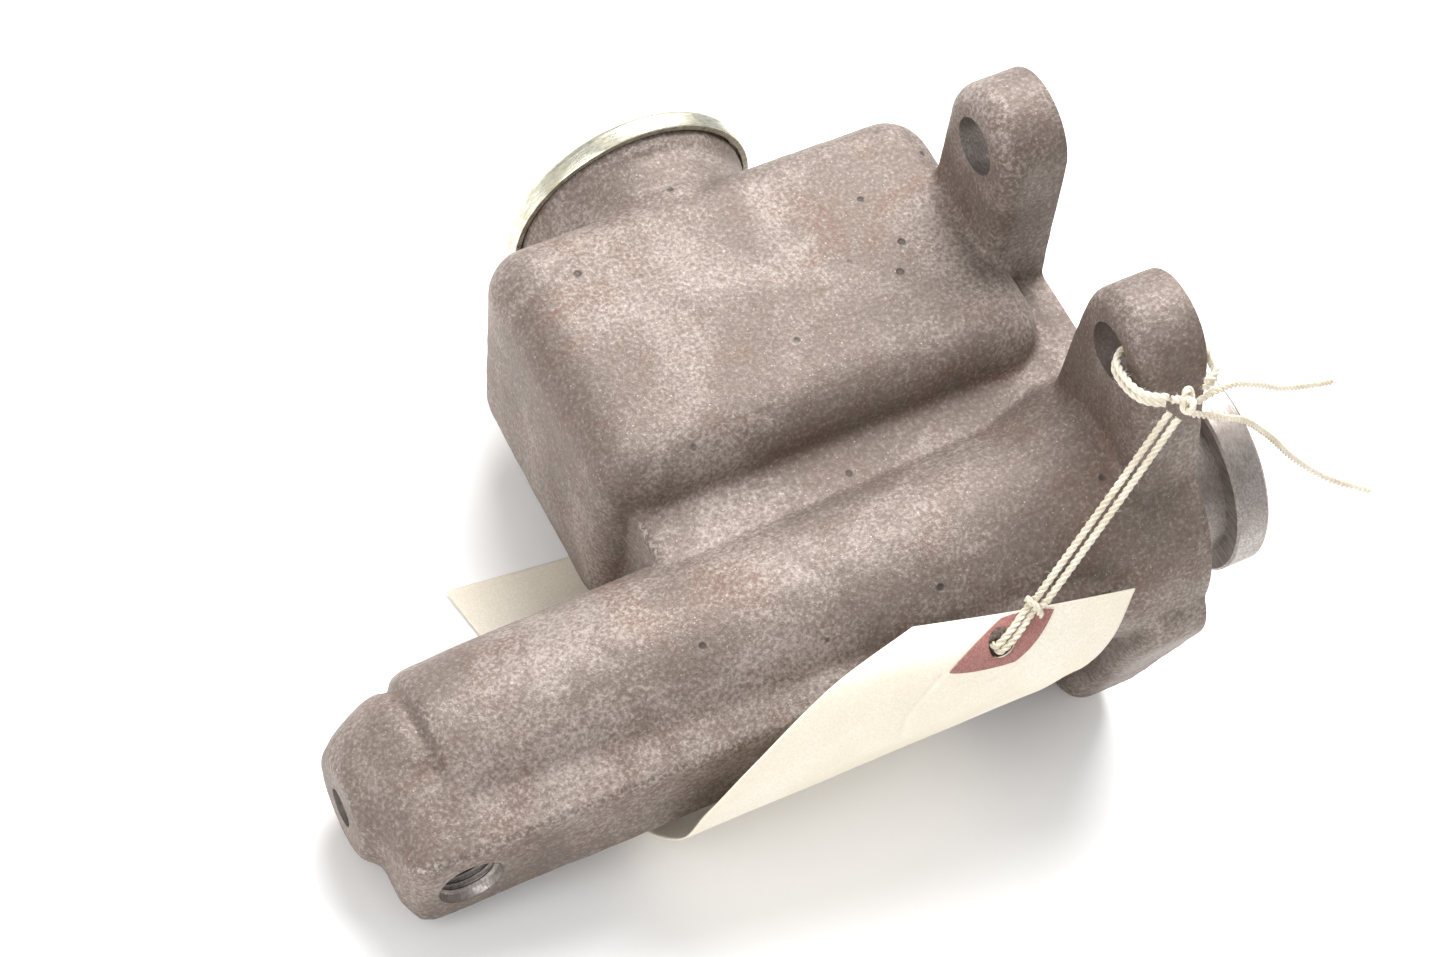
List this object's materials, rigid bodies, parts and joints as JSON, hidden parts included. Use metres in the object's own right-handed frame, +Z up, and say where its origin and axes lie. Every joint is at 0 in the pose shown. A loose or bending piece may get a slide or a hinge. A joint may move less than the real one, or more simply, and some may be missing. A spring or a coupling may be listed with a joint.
{
  "type": "brake master cylinder",
  "caption": "Cast-iron hydraulic master cylinder with integral fluid reservoir, bolted cover, mounting ears, internal piston and valve, and a card tag tied on with string.",
  "frame": {"origin": "centre of the bottom of the casting's bounding box, on the surface it lies on", "axes": "+Z up as it lies on its side; +X along the length, from the nose towards the mounting flange; +Y towards the reservoir cover"},
  "size_m": [0.2195, 0.142, 0.1198],
  "materials": {
    "cast_iron": "as cast and grainy, lightly rusted, machined on a few faces",
    "zinc_steel": "zinc plated, slightly yellow",
    "steel": "turned",
    "spring_steel": "dark drawn wire and strip",
    "rubber": "smooth",
    "brass": "turned",
    "piston_alloy": "turned",
    "gasket_board": "matt",
    "manila_card": "matt, creased",
    "patch_paper": "matt",
    "cotton": "twisted, slightly fluffy"
  },
  "bodies": {
    "housing": {"body_casting": "cast_iron", "check_valve_seat": "rubber", "return_spring": "spring_steel", "stop_plate": "steel", "snap_ring": "spring_steel", "tag": "manila_card", "tag_patch": "patch_paper", "string_loop_a": "cotton", "string_loop_b": "cotton", "string_leg_a": "cotton", "string_leg_b": "cotton", "string_end_a": "cotton", "string_end_b": "cotton", "string_knot": "cotton", "string_hitch": "cotton"},
    "piston_group": {"piston": "piston_alloy", "secondary_cup": "rubber", "primary_cup": "rubber", "cup_washer": "steel", "spring_retainer": "steel"},
    "check_valve": {"check_valve_body": "brass", "check_valve_cup": "rubber"},
    "cover": {"reservoir_cover": "zinc_steel", "cover_gasket": "gasket_board"},
    "cover_fastener": {"cover_bolt": "steel", "bolt_washer": "steel"}
  },
  "joints": [
    {"name": "piston_stroke", "type": "slide", "parent": "housing", "child": "piston_group", "axis": [-0.9605, 0, -0.2781], "range_m": [0, 0.03], "stiffness_N_per_m": 1500, "springref_m": -0.02, "deforming": ["return_spring"]},
    {"name": "check_valve_lift", "type": "slide", "parent": "housing", "child": "check_valve", "axis": [0.9605, 0, 0.2781], "range_m": [0, 0.0012], "stiffness_N_per_m": 1500, "springref_m": -0.02, "deforming": ["return_spring"]},
    {"name": "cover_lift", "type": "slide", "parent": "housing", "child": "cover", "axis": [0, 1, 0], "range_m": [0, 0.03]},
    {"name": "bolt_turn", "type": "hinge", "parent": "cover", "child": "cover_fastener", "pos_m": [0.01175, 0.06176, 0.04374], "axis": [0, 1, 0], "continuous": true}
  ]
}
